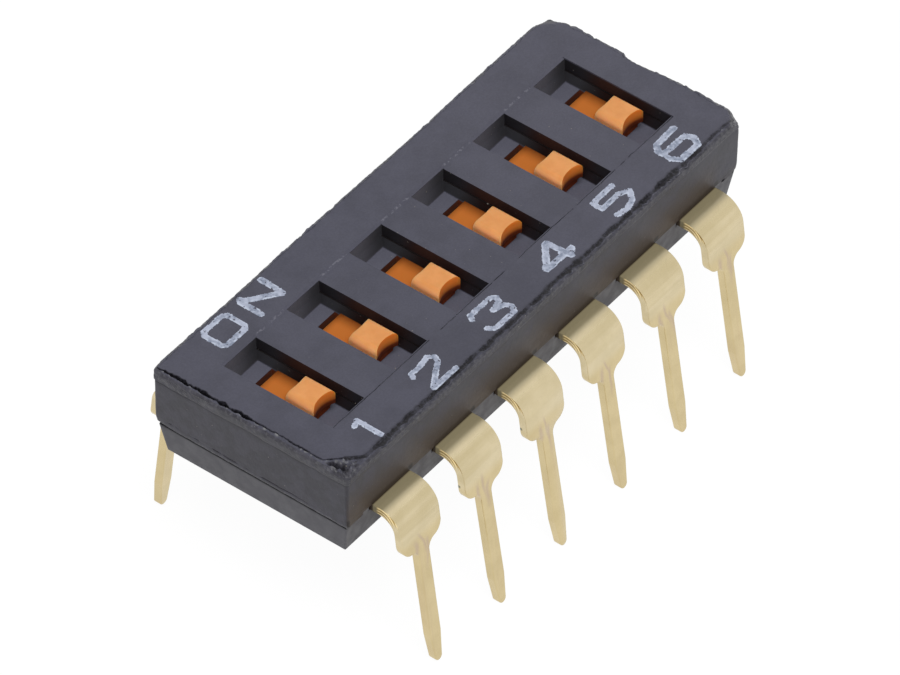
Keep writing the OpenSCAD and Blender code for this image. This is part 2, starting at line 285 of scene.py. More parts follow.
def cover_material():
    """Dark plastic; what the photograph's light does in the windows and low down is painted in."""
    m = Nodes("cover_plastic")
    x, y, z = m.axis("X"), m.axis("Y"), m.axis("Z")
    far_x, far_y = m.math("ABSOLUTE", x), m.math("ABSOLUTE", y)
    from_pole = m.from_pole()
    across = m.math("ABSOLUTE", from_pole)
    fine = m.noise(0.05, 3, 0.6)
    blotch = m.noise(0.42, 3, 0.55)
    on_top = m.ramp(z, TOP - STRIP_DROP - 0.014, TOP - STRIP_DROP - 0.006)
    outside = m.math("MAXIMUM", m.ramp(far_x, 7.3, 7.34), m.ramp(far_y, 2.4, 2.44))

    # the raised face, with a painted highlight in light dots along the windows' ON ends
    face = m.mix(m.ramp(m.noise(1.2, 4, 0.62), 0.35, 0.65), srgb(68, 68, 79), srgb(75, 75, 87))
    face = m.mix(m.ramp(x, -2, 5, 0, 0.2), face, srgb(92, 91, 102))
    last_x = pole_x(POLES - 1)
    # painted highlight on the strip's ON edge, in dots on the bars between the windows
    strip_edge_highlight = m.product(m.ramp(m.away(y, WINDOW_L / 2 + 0.01), 0.045, 0.015),
                    m.ramp(far_x, last_x + 0.1, last_x),
                    m.ramp(across, WINDOW_W / 2 + 0.02, WINDOW_W / 2 + 0.12),
                    m.ramp(m.noise(0.11, 2, 0.6), 0.46, 0.62, 0, 0.6))
    face = m.mix(strip_edge_highlight, face, srgb(116, 116, 126))

    # the windows: side walls in painted shade with the orange knob's painted reflection, a painted
    # shade line at the step and painted light low down near the ON end; end walls, floor
    knob_reflection = m.product(m.ramp(y, -1.5, -0.7), m.ramp(y, 1.3, 0.5))
    flank = m.mix(knob_reflection, srgb(32, 30, 33), srgb(46, 31, 29))
    # painted shade along the step
    flank = m.mix(m.ramp(m.away(z, TOP - STEP_D), 0.03, 0.015), flank, srgb(20, 15, 15))
    # painted light on the lower wall, towards the ON end
    lower_wall_light = m.product(m.ramp(z, TOP - STEP_D + 0.01, TOP - STEP_D - 0.04, 0, 0.7),
                      m.ramp(y, 0.3, 1.2))
    flank = m.mix(lower_wall_light, flank, srgb(74, 74, 78))
    # end walls in painted shade: lighter towards each window's near side, darker towards its far
    # side
    end_wall_shade = m.mix(m.ramp(from_pole, 0.6, -0.5), srgb(58, 58, 62), srgb(98, 97, 105))
    endways = m.ramp(m.math("ABSOLUTE", m.facing("Y")), 0.5, 0.8)
    inner = m.mix(endways, flank, end_wall_shade)
    # the floor, with a painted shadow along the numbered end wall
    floor_end = WINDOW_LEAN - WINDOW_L / 2
    floor = m.mix(m.ramp(y, floor_end + 0.1, floor_end + 0.02), srgb(93, 93, 105),
                  srgb(44, 42, 50))
    inner = m.mix(m.ramp(z, FLOOR_Z + 0.02, FLOOR_Z + 0.05), floor, inner)
    # the slot walls below the floor: a painted orange reflection of the slider
    inner = m.mix(m.ramp(z, FLOOR_Z - 0.02, FLOOR_Z - 0.01), srgb(112, 56, 34), inner)

    # the walls: a painted brown reflection of the terminals low down on the numbered side, and
    # painted shade just above the terminals, darkest at one side of each
    wall = m.mix(m.ramp(blotch, 0.4, 0.6), srgb(57, 56, 63), srgb(68, 67, 75))
    colour = m.mix(on_top, m.mix(outside, inner, wall), face)
    number_side = m.ramp(m.facing("Y"), -0.5, -0.8)
    terminal_reflection = m.product(number_side, m.ramp(x, 7.4, 6.6), m.ramp(z, 2.5, 1.3))
    colour = m.mix(terminal_reflection, colour, srgb(70, 61, 56))
    # painted shade just above the terminals
    low = m.product(number_side, m.ramp(z, JOINT_Z + 0.22, JOINT_Z + 0.06),
                    m.ramp(across, 0.86, 0.76, 0.2, 0.8))
    colour = m.mix(low, colour, srgb(44, 33, 27))
    # a painted shade spot at one side of each terminal
    root_shade_spot = m.product(m.ramp(m.away(from_pole, 0.78), 0.12, 0.05),
                     m.ramp(z, JOINT_Z + 0.2, JOINT_Z + 0.1), number_side)
    colour = m.mix(root_shade_spot, colour, srgb(26, 21, 20))

    # pale specks, the edge's tone, which is wear with painted shade and painted highlights, and a
    # fine grain
    specks = m.product(m.ramp(m.noise(0.07, 1, 0.3), 0.78, 0.82),
                       m.ramp(z, TOP - 0.02, TOP - 0.05))
    colour = m.mix(specks, colour, srgb(132, 128, 122))
    tone = m.add("ShaderNodeAttribute", attribute_name="tone").outputs["Fac"]
    tone = m.product(tone, m.ramp(m.noise(0.06, 2, 0.6), 0.3, 0.6, 0.6, 1.15))
    colour = m.mix(m.math("MULTIPLY", tone, -1.0, clamp=True), colour, srgb(22, 21, 25))
    colour = m.mix(m.math("MULTIPLY", tone, 1.0, clamp=True), colour, srgb(126, 126, 128))
    tint = m.add("ShaderNodeMix", data_type="RGBA", blend_type="MULTIPLY")
    m.put(tint.inputs[0], 1.0)
    m.put(tint.inputs[6], colour)
    m.put(tint.inputs[7], m.ramp(fine, 0.3, 0.7, 0.93, 1.07))
    return m.finish(Base_Color=tint.outputs[2], Roughness=m.ramp(blotch, 0.3, 0.7, 0.42, 0.52),
                    Specular_IOR_Level=0.3, Normal=m.bump(fine, 0.003, 0.5))


def base_material():
    """Dark plastic, with painted shade along the seam at both ends."""
    m = Nodes("base_plastic")
    colour = m.mix(m.ramp(m.noise(0.8, 3, 0.6), 0.35, 0.65), srgb(75, 74, 80), srgb(82, 81, 87))
    # painted shade along the seam at both ends
    seam = m.product(m.ramp(m.math("ABSOLUTE", m.axis("X")), 7.6, 7.7),
                     m.ramp(m.axis("Z"), SEAM_Z - 0.12, SEAM_Z - 0.03, 0, 0.85))
    colour = m.mix(seam, colour, srgb(34, 33, 38))
    return m.finish(Base_Color=colour, Roughness=m.ramp(m.noise(0.3), 0.3, 0.7, 0.42, 0.55),
                    Specular_IOR_Level=0.3, Normal=m.bump(m.noise(0.05, 3, 0.6), 0.003, 0.4))


def slider_material():
    """Orange plastic with the photograph's shades of the knob's sides and the deck painted in."""
    m = Nodes("actuator_plastic")
    y, z, local = m.axis("Y"), m.axis("Z"), m.from_pole()
    colour = m.mix(m.ramp(m.noise(0.5, 3, 0.6), 0.3, 0.7), srgb(218, 148, 86), srgb(226, 158, 97))
    # painted light on the side of the knob that faces -X, below its rounded top
    knob_side_light = m.product(m.ramp(m.facing("X"), -0.35, -0.75), m.ramp(z, 2.96, 2.78))
    colour = m.mix(knob_side_light, colour, srgb(255, 176, 120))
    # painted shade on the knob's front, darkest at its foot
    shaded_front = m.mix(m.ramp(z, DECK_TOP + 0.02, DECK_TOP + 0.3), srgb(140, 62, 24),
                  srgb(224, 126, 50))
    colour = m.mix(m.ramp(m.facing("Y"), -0.35, -0.75), colour, shaded_front)
    # painted shade on the deck: darker towards its ON end and the far side
    lit = m.product(m.ramp(y, 1.02, 0.65, 0.3, 1), m.ramp(local, 0.64, 0.02))
    deck = m.mix(lit, srgb(66, 24, 6), srgb(190, 110, 48))
    colour = m.mix(m.ramp(z, DECK_TOP + 0.01, DECK_TOP + 0.05), deck, colour)
    # painted shade below the deck's top
    colour = m.mix(m.ramp(z, DECK_TOP - 0.04, DECK_TOP - 0.12), colour, srgb(62, 25, 14))
    # painted shade on the neck under the knob's front
    under = m.product(m.ramp(y, KNOB_FRONT + 0.14, KNOB_FRONT + 0.05),
                      m.ramp(z, DECK_TOP + 0.18, DECK_TOP + 0.08))
    colour = m.mix(under, colour, srgb(108, 48, 24))
    return m.finish(Base_Color=colour, Roughness=m.ramp(m.noise(0.2), 0.3, 0.7, 0.4, 0.52),
                    Subsurface_Weight=m.ramp(z, DECK_TOP + 0.1, DECK_TOP + 0.3, 0.25, 0.5),
                    Subsurface_Radius=(1.0, 0.45, 0.25), Subsurface_Scale=0.33 * MM,
                    Specular_IOR_Level=m.ramp(z, DECK_TOP + 0.05, DECK_TOP + 0.35, 0.03, 0.3),
                    Normal=m.bump(m.noise(0.06, 3, 0.6), 0.003, 0.4))


def terminal_material():
    """Drawn metal, dull where it runs out flat, with cut marks on the bend's sides and creases
    below; painted shade on the flat run and by the wall, painted reflections and highlights on the
    bend.
    """
    m = Nodes("terminal_metal")
    y, z, local = m.axis("Y"), m.axis("Z"), m.from_pole()
    out = m.math("ABSOLUTE", y)
    patches = m.ramp(m.noise(0.6, 4, 0.6), 0.3, 0.7)
    leg = m.mix(patches, srgb(202, 184, 140), srgb(212, 194, 150))
    shoulder = m.mix(patches, srgb(208, 193, 156), srgb(217, 202, 166))
    colour = m.mix(m.ramp(z, -0.1, 0.3), leg, shoulder)
    # painted reflections: soft bands along the bend
    bend_reflections = m.product(m.ramp(m.noise(0.32, 3, 0.5, (0.05, 1, 1)), 0.38, 0.62, 0, 0.45),
                      m.ramp(z, -0.1, 0.5))
    colour = m.mix(bend_reflections, colour, srgb(190, 174, 132))
    streaks = m.product(m.ramp(m.noise(0.13, 2, 0.6, (1, 0.05, 0.05)), 0.5, 0.72, 0, 0.22),
                        m.ramp(z, 0.1, -0.5))
    colour = m.mix(streaks, colour, srgb(190, 166, 132))
    run_end = WALL_Y + TERMINAL_RUN
    # painted shade on the flat run beside the wall
    flat = m.ramp(out, run_end + 0.24, run_end - 0.02)
    colour = m.mix(flat, colour, srgb(143, 133, 104))
    dull = m.ramp(out, run_end + 0.4, run_end + 0.05)

    # the strip's cut sides, with marks that follow the bend, painted as highlights near the wall
    side = m.ramp(m.math("ABSOLUTE", m.facing("X")), 0.6, 0.85)
    bend_y = m.math("SUBTRACT", out, BEND_Y)
    bend_z = m.math("SUBTRACT", z, BEND_Z)
    radius = m.math("SQRT", m.math("ADD", m.product(bend_y, bend_y), m.product(bend_z, bend_z)))
    grooves = m.math("SINE", m.product(radius, 70.0))
    lines = m.ramp(m.math("ADD", grooves, m.product(m.noise(0.2, 1, 0.4), 1.4)), 0.2, 1.4)
    side_highlights = m.mix(lines, srgb(176, 148, 90), srgb(252, 228, 170))
    near = m.product(m.ramp(z, 0.7, 0.95), m.ramp(out, WALL_Y + 0.1, WALL_Y + 0.2))
    colour = m.mix(m.product(side, near), colour, side_highlights)
    burr = m.product(side, m.ramp(out, 3.9, 3.84), m.ramp(m.away(z, 0.17), 0.06, 0.02, 0, 0.8),
                     m.ramp(m.away(m.axis("X"), pole_x(1.5) - 0.6), PITCH, 0.9 * PITCH))
    colour = m.mix(burr, colour, srgb(58, 76, 60))

    # three long creases down each leg: start, slant, width and top
    creases = None
    for start, slant, width, top in ((-0.1, 0.18, 0.08, 0.2), (0.08, 0.03, 0.1, -0.1),
                                     (-0.3, -0.04, 0.13, 0.05)):
        shake = m.ramp(m.noise(0.9, 1, 0.5, shift=(start, 0, 0)), 0.3, 0.7, -0.07, 0.07)
        middle = m.math("ADD", m.product(m.math("SUBTRACT", top, z), slant), start)
        off = m.away(m.math("SUBTRACT", local, middle), shake)
        length = m.product(m.ramp(z, top + 0.1, top - 0.2), m.ramp(z, top - 1.2, top - 0.4))
        line = m.product(m.ramp(off, width, 0.0), length)
        creases = line if creases is None else m.math("MAXIMUM", creases, line)
    colour = m.mix(m.product(creases, 0.5), colour, srgb(180, 158, 146))
    # painted shade where the terminal meets the wall
    wall_shade = m.ramp(out, WALL_Y + 0.04, WALL_Y - 0.02)
    colour = m.mix(m.product(wall_shade, 0.9), colour, srgb(52, 38, 30))
    bend = m.math("ADD", m.ramp(m.noise(0.25, 3, 0.6, (1, 0.3, 0.3)), 0.3, 0.7, 0, 0.3),
                  m.product(creases, -1.0))
    metallic = m.math("SUBTRACT", 1.0, m.product(dull, 0.9))
    return m.finish(Base_Color=colour, Metallic=metallic,
                    Roughness=m.ramp(m.noise(0.3, 3), 0.3, 0.7, 0.16, 0.24),
                    Normal=m.bump(bend, 0.008, 0.3))


def contact_material():
    """Gold-plated spring metal, given as linear colours."""
    m = Nodes("spring_alloy")
    colour = m.mix(m.ramp(m.noise(0.3), 0.3, 0.7), (0.72, 0.56, 0.28, 1), (0.8, 0.64, 0.34, 1))
    return m.finish(Base_Color=colour, Metallic=1.0, Roughness=0.35)


def ink_material():
    """Pale ink, lightest along the outline of each stroke."""
    m = Nodes("ink")
    rim = m.add("ShaderNodeAttribute", attribute_name="rim").outputs["Fac"]
    colour = m.mix(m.ramp(m.noise(0.1, 4, 0.65), 0.36, 0.64),
                   srgb(126, 134, 153), srgb(166, 173, 191))
    colour = m.mix(m.ramp(m.noise(0.5, 2, 0.5), 0.44, 0.62, 0, 0.65), colour, srgb(188, 194, 212))
    edge = m.product(m.ramp(rim, 0.35, 0.85), m.ramp(m.noise(0.2), 0.42, 0.62))
    colour = m.mix(edge, colour, srgb(194, 202, 219))
    return m.finish(Base_Color=colour, Roughness=0.6,
                    Normal=m.bump(m.noise(0.05, 3, 0.6), 0.004, 0.5))


# ---------------------------------------------------------------- mesh helpers

def new_piece(name, points, faces, material):
    """An object from points in millimetres."""
    mesh = bpy.data.meshes.new(name)
    mesh.from_pydata([tuple(c * MM for c in p) for p in points], [], faces)
    mesh.validate()
    mesh.materials.append(material)
    piece = bpy.data.objects.new(name, mesh)
    bpy.context.scene.collection.objects.link(piece)
    return piece


def box_mesh(low, high):
    points = [(x, y, z) for x in (low[0], high[0]) for y in (low[1], high[1])
              for z in (low[2], high[2])]
    faces = [(0, 1, 3, 2), (4, 6, 7, 5), (0, 4, 5, 1), (2, 3, 7, 6), (0, 2, 6, 4), (1, 5, 7, 3)]
    return points, faces


def joined(parts):
    """One list of points and one of faces from several meshes."""
    points, faces = [], []
    for p, f in parts:
        faces += [tuple(i + len(points) for i in face) for face in f]
        points += p
    return points, faces


def cut(piece, parts):
    """Takes closed meshes that don't touch each other away from the piece."""
    cutter = new_piece("cutter", *joined(parts), piece.data.materials[0])
    modifier = piece.modifiers.new("cut", "BOOLEAN")
    modifier.operation = "DIFFERENCE"
    modifier.object = cutter
    modifier.solver = "MANIFOLD"
    deps = bpy.context.evaluated_depsgraph_get()
    mesh = bpy.data.meshes.new_from_object(piece.evaluated_get(deps))
    piece.modifiers.clear()
    old = piece.data
    piece.data = mesh
    bpy.data.meshes.remove(old)
    bpy.data.objects.remove(cutter)


# ---------------------------------------------------------------- cover

def rough(seed, s, t, size):
    """Repeatable noise from -1 to 1 over a surface, with features of about `size`."""
    return fractal(Vector((s / size, t / size, seed * 7.3)), 0.6, 2.0, 3)


def ease(value, low, high):
    """0 below low, 1 above high and smooth between."""
    t = max(0.0, min(1.0, (value - low) / (high - low)))
    return t * t * (3 - 2 * t)


def bell(value, middle, width):
    """1 at the middle, falling smoothly to 0 within about two widths."""
    return math.exp(-((value - middle) / width) ** 2)


def outline():
    """Points and outward normals round the walls, from the near numbered corner."""
    x, y, r = WALL_X - CORNER_R, WALL_Y - CORNER_R, CORNER_R
    out = []
    for cx, cy, start in ((-x, -y, 180), (x, -y, 270), (x, y, 0), (-x, y, 90)):
        for k in range(4):
            a = math.radians(start + 90 * k / 3)
            n = (math.cos(a), math.sin(a))
            out.append(((cx + r * n[0], cy + r * n[1]), n))
        corner, n = out[-1]
        length = 2 * (x if start in (180, 0) else y)
        count = int(length / OUTLINE_STEP)
        for k in range(1, count):
            t = length * k / count
            out.append(((corner[0] - n[1] * t, corner[1] + n[0] * t), n))
    return out


def worn(x, y, z):
    """Moves a point of the cover as its worn corners, tucks, hollows, dent and ear have it."""
    for cx, cy, reach, drop, pull in CORNER_WEAR:
        near = max(0.0, 1 - (abs(x - cx) + abs(y - cy)) / reach)
        near *= ease(z, TOP - 0.6, TOP - 0.1)
        near *= near * (3 - 2 * near)
        x -= math.copysign(pull * near, cx)
        y -= math.copysign(pull * near, cy)
        z -= drop * near
    for cx, cy, pull, height in CORNER_TUCK:
        tuck = bell(math.hypot(x - cx, y - cy), 0, TUCK_R) * (1 - ease(z, SEAM_Z, SEAM_Z + height))
        x, y = x - math.copysign(pull * tuck, cx), y - math.copysign(pull * tuck, cy)
    high = ease(z, TOP - 0.9, TOP - 0.3)
    if y > 0:
        hollow = sum(depth * bell(x, middle, width) for depth, middle, width in ON_HOLLOWS)
        y -= hollow * ease(y, WALL_Y - 0.15, WALL_Y) * high
    dent = ease(y, *DENT_BEGIN) * (1 - ease(y, *DENT_END)) * ease(x, WALL_X - 0.25, WALL_X)
    x -= DENT * dent * high
    ear = bell(math.hypot(x - WALL_X, y - WALL_Y), 0, EAR_R) * ease(z, TOP - 0.5, TOP - 0.2)
    return x, y, z + EAR_H * ear


def crack_strength(w, n, s):
    """How wide the crack beside the raised face gapes: most at the near end's ON half.

    w is a point of the walls, n its outward normal and s its place along the outline.
    """
    if n[0] < -0.7:
        side = 0.25 + 0.75 * ease(w[1], -0.6, 0.6) * (1 - 0.5 * ease(w[1], 2.0, 3.0))
    elif n[1] < -0.7:
        side = (0.62 + 0.3 * bell(w[0], 4.6, 1.6)) * (1 - 0.55 * ease(w[0], 6.2, 7.4))
    else:
        side = 0.04
    return max(0.03, side * (1 + 1.1 * rough(3, s, 0, 0.4)))


def edge_column(w, n, s):
    """Points of the cover's surface from near the windows over the edge down to the seam.

    Each has a fourth number: how far the edge's wear, painted shade and painted highlights darken
    (below 0) or lighten its colour.
    """
    in_x, in_y = WALL_X - TOP_RING, WALL_Y - TOP_RING
    face_x, face_y = WALL_X - FACE_INSET, WALL_Y - FACE_INSET
    border = TOP - FACE_RISE
    band_bottom = border - BAND_H
    foot = (max(-in_x, min(in_x, w[0])), max(-in_y, min(in_y, w[1])))
    dx, dy = w[0] - foot[0], w[1] - foot[1]
    length = math.hypot(dx, dy)
    strength = crack_strength(w, n, s)
    # how much this column belongs to each part of the outline
    near_end = ease(-n[0], 0.3, 0.9)
    number_side = ease(-n[1], 0.3, 0.9)
    away = ease(n[0] + n[1], 0.5, 0.9)
    chipped = bell(math.hypot(w[0] - WALL_X, w[1] + WALL_Y), 0, 0.55)  # far numbered corner

    # the raised face, as far as its wandering edge or the cut index corner
    wander = 0.03 * rough(1, s, 0, 0.6) + 0.022 * rough(2, s, 0, 0.09) - 0.03 * strength
    limits = [1.0]
    for d, f, edge in ((dx, foot[0], face_x), (dy, foot[1], face_y)):
        if abs(d) > 1e-9:
            limits.append((edge + wander - abs(f)) / abs(d))
    if dx + dy < 0:
        reach = face_x + face_y - INDEX_CUT + 0.4 * wander + foot[0] + foot[1]
        limits.append(reach / -(dx + dy))
    t_face = min(t for t in limits if t > 0)
    # how much wider the crack gapes on the numbered side, and how much darker it and the face's
    # edge beside it are
    number_crack = number_side * (0.6 + 1.3 * max(0.0, rough(22, s, 0, 0.4)))
    number_crack *= 1 - 0.6 * ease(w[0], 6.2, 7.4)
    column = [(foot[0] + dx * t * t_face, foot[1] + dy * t * t_face, FACE_Z, tone)
              for t, tone in ((0.0, 0), (0.3, 0), (0.55, 0), (0.75, 0), (0.88, 0),
                              (0.95, -0.35 * number_crack), (0.985, -0.6 * number_crack - 0.15 * strength))]

    # the crack beside it, painted dark as shade
    gape = (0.014 + 0.05 * strength + 0.05 * number_crack) / length
    deep = 0.02 + 0.13 * strength * (1 - 0.7 * number_side)
    burr = 0.035 * max(0.0, rough(4, s, 0, 0.12)) * (0.3 + near_end)
    # painted highlights on the burr beside the crack, at the near end and on the numbered side
    burr_glint = near_end * max(0.0, rough(20, s, 0, 0.13) - 0.05) * 3.5
    bumps = 0.08 * away * max(-0.6, rough(18, s, 0, 0.3))
    # painted light on the ON and far sides, which face away from the lamp
    pale = away * (0.2 + 0.6 * max(0.0, rough(19, s, 0, 0.14)))
    burr_glint += number_side * max(0.0, rough(28, s, 0, 0.1) - 0.2) * 2.0
    # how dark the crack is painted, as shade
    dark = min(1.0, 0.3 + 1.3 * strength) * (0.1 + 0.9 * max(near_end, number_side))
    for t, z, tone in ((-0.5, FACE_Z - 0.002, -0.4 * dark), (0, FACE_Z - 0.012, -0.8 * dark),
                       (0.3, TOP - deep, -dark), (0.7, TOP - deep, -dark),
                       (1.1, border - 0.3 * deep, -0.7 * dark), (1.5, border + burr, burr_glint)):
        at = t_face + t * gape
        column.append((foot[0] + dx * at, foot[1] + dy * at, z, tone))

    # the worn border between the crack and the bevel
    begin = t_face + 1.5 * gape
    edge = max(begin + 0.01, 1.0 - (BEVEL - BAND_OUT) / length)
    broad = ease(length * (edge - begin), 0.12, 0.3)
    left_lump = near_end * ease(w[1], 0.8, 2.6)
    for k in (0.12, 0.24, 0.36, 0.48, 0.6, 0.72, 0.86, 1.0):
        t = begin + (edge - begin) * k
        x, y = foot[0] + dx * t, foot[1] + dy * t
        lumps = 0.05 * rough(6, x, y, 0.1) + 0.03 * rough(5, x, y, 0.3)
        pit = 0.2 * bell(k, 0.46, 0.15)
        pit *= ease(y - x, WALL_X - WALL_Y - 0.25, WALL_X - WALL_Y + 0.2)
        z = border + burr * (1 - k) - 0.012 * k + 0.014 * rough(5, x, y, 0.1)
        # the border's tone: random wear, darker in the pit and lighter just past the crack, with
        # the burr's painted highlights, the numbered crack's darker edge and pale's painted light
        tone = broad * (0.8 * rough(21, x, y, 0.08) - 0.1 + 0.35 * bell(k, 0.1, 0.12) - 4 * pit)
        mottle = 0.3 * near_end * rough(23, x, y, 0.12) + 0.5 * number_side * rough(27, x, y, 0.07)
        tone += (1 - broad) * (0.7 * burr_glint + mottle - 0.8 * number_crack) * (1 - k) + pale * k
        tone += chipped * (1.8 * rough(29, x, y, 0.1) + 0.25)
        column.append((x, y, min(TOP, z + bumps * k + broad * (lumps - pit - 0.03 * k)), tone))

    # the bevel
    chip = max(0.0, rough(7, s, 0, 0.3) - 0.3) * 0.9
    drop = 0.035 * broad
    for k in (0.33, 0.66, 1.0):
        d = BAND_OUT - BEVEL * (1 - k) - 0.05 * chip + 0.008 * rough(8, s, k, 0.12)
        z = border - drop - BEVEL_H * k - 0.05 * chip + bumps * (1 - k)
        z += 0.008 * rough(9, s, k, 0.1)
        # random wear, with pale's painted light
        tone = 0.35 * (1 - away) * rough(24, s, z, 0.1) + pale
        tone += chipped * (1.2 * rough(29, s, z, 0.1) + 0.2)
        column.append((w[0] + n[0] * d, w[1] + n[1] * d, z, tone))

    # the band and the line under it, a groove painted dark as shade at the near end
    top_row = border - drop - BEVEL_H
    band_deep = 1 - 0.55 * near_end * (1 - left_lump)
    for k in (0.12, 0.3, 0.48, 0.66, 0.84):
        z = top_row + (band_bottom + 0.03 - top_row) * k
        d = BAND_OUT * band_deep - 0.03 * chip * (1 - k)
        d += (0.007 + 0.016 * left_lump) * rough(10, s, z, 0.16)
        tone = 0.2 * near_end * (rough(24, s, z, 0.14) + 0.5 * k)
        tone += 0.3 * number_side * rough(27, s, z, 0.09)
        column.append((w[0] + n[0] * d, w[1] + n[1] * d, z, tone))
    sag = 0.03 * rough(12, s, 0, 0.7) - 0.03 * left_lump
    groove_shade = near_end * (0.32 + 0.25 * rough(25, s, 0, 0.5))
    dip = 0.16 * near_end
    for k, z, tone in ((0.8, 0.02, 0.1), (0.45, -0.005, -0.6), (0.05, -0.03, -1.0),
                       (-dip, -0.05, -1.0), (0.0, -0.09, -0.4)):
        d = BAND_OUT * band_deep * k
        column.append((w[0] + n[0] * d, w[1] + n[1] * d, band_bottom + z + sag, tone * groove_shade))

    # the wall down to the flash line
    flash_z = SEAM_Z + 0.2 + 0.05 * near_end * ease(w[1], 0.5, 2.6) + 0.02 * rough(16, s, 0, 0.7)
    first_z = band_bottom - 0.09 + sag
    arris = -0.3 * bell(n[0] + n[1], -1.414, 0.25)
    for k in range(1, WALL_ROWS + 1):
        z = first_z + (flash_z + 0.03 - first_z) * k / WALL_ROWS
        d = 0.004 * rough(13, s, 1.5 * z, 0.5) + 0.0015 * rough(14, s, z, 0.09)
        column.append((w[0] + n[0] * d, w[1] + n[1] * d, z, arris))

    # the flash line, painted dark as shade in its groove, the pale strip under it and the rounded
    # edge at the seam, painted dark as shade where it turns in
    line = ease(rough(15, s, 0, 0.8), -0.3, 0.1) * ease(w[1], -2.2, -0.8) * near_end
    strip = near_end * (0.3 + 0.5 * max(0.0, rough(26, s, 0, 0.15)))
    ragged = 0.008 * rough(17, s, 0, 0.25)
    mid_z = SEAM_Z + 0.14
    for z, d, tone in ((flash_z + 0.015, -0.006 * line, -0.3 * line),
                       (flash_z, -0.02 * line, -0.9 * line),
                       (flash_z - 0.02, 0.004 * line, -0.2 * line),
                       (mid_z, 0.008 * near_end, 0.4 * strip),
                       (mid_z - 0.03, 0.014 * near_end, strip),
                       (SEAM_Z + 0.105, 0.012 * near_end + ragged, 0),
                       (SEAM_Z + 0.08, ragged - 0.004, -0.8), (SEAM_Z + 0.04, ragged - 0.03, -1.0),
                       (SEAM_Z, ragged - 0.06, -1.0)):
        column.append((w[0] + n[0] * d, w[1] + n[1] * d, z, tone))
    return [(*worn(*p[:3]), p[3]) for p in column]


def add_cover():
    """The cover's shell with its worn edges; it stands for the CAD's cover."""
    columns, s, before = [], 0.0, None
    for w, n in outline():
        s += math.dist(w, before) if before else 0.0
        before = w
        columns.append(edge_column(w, n, s))
    count, depth = len(columns), len(columns[0])
    points = [p[:3] for column in columns for p in column]
    tones = [p[3] for column in columns for p in column]
    faces = [(i * depth + k, i * depth + k + 1,
              (i + 1) % count * depth + k + 1, (i + 1) % count * depth + k)
             for i in range(count) for k in range(depth - 1)]
    piece = new_piece("cover_shell", points, faces, cover_material())
    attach(piece, "housing")
    piece.data.attributes.new("tone", "FLOAT", "POINT").data.foreach_set("value", tones)
    mesh = bmesh.new()
    mesh.from_mesh(piece.data)
    bmesh.ops.remove_doubles(mesh, verts=mesh.verts, dist=1e-3 * MM)
    bmesh.ops.holes_fill(mesh, edges=[e for e in mesh.edges if e.is_boundary], sides=0)
    bmesh.ops.triangulate(mesh, faces=[f for f in mesh.faces if len(f.verts) > 4])
    bmesh.ops.recalc_face_normals(mesh, faces=mesh.faces)
    mesh.to_mesh(piece.data)
    mesh.free()
    open_windows(piece)
    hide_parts("cover")


def open_windows(piece):
    """Cuts the strip, the windows, the slots and the room for the base out of the shell."""
    half_x, half_y = WINDOW_W / 2, WINDOW_L / 2
    cut(piece, [strip_cutter(pole_x(0) - half_x, pole_x(POLES - 1) + half_x, half_y)])
    room_x, room_y = WALL_X - SKIRT_L, WALL_Y + 1
    cut(piece, [box_mesh((-room_x, -room_y, 0), (room_x, room_y, JOINT_Z))])
    upper, lower, slots, chambers = [], [], [], []
    for i in range(POLES):
        x = pole_x(i)
        for parts, w, top, bottom in ((upper, half_x, TOP + 1, TOP - STEP_D),
                                      (lower, half_x - STEP, TOP - STEP_D + STEP, FLOOR_Z)):
            lean_top = WINDOW_LEAN * max(0, TOP - top) / WINDOW_D
            lean_low = WINDOW_LEAN * (TOP - bottom) / WINDOW_D
            p, f = box_mesh((x - w, -half_y, bottom), (x + w, half_y, top))
            p = [(a, math.copysign(half_y - (lean_top if c == top else lean_low), b), c)
                 for a, b, c in p]
            parts.append((p, f))
        slots.append(box_mesh((x - half_x + STEP, SLOT_OFF, FLOOR_Z - FLOOR_T - 0.1),
                              (x + half_x - STEP, SLOT_ON, FLOOR_Z + 0.1)))
        chambers.append(box_mesh((x - CHAMBER_W / 2, -CHAMBER_L / 2, 0),
                                 (x + CHAMBER_W / 2, CHAMBER_L / 2, FLOOR_Z - FLOOR_T)))
    for parts in (upper, lower, slots, chambers):
        cut(piece, parts)


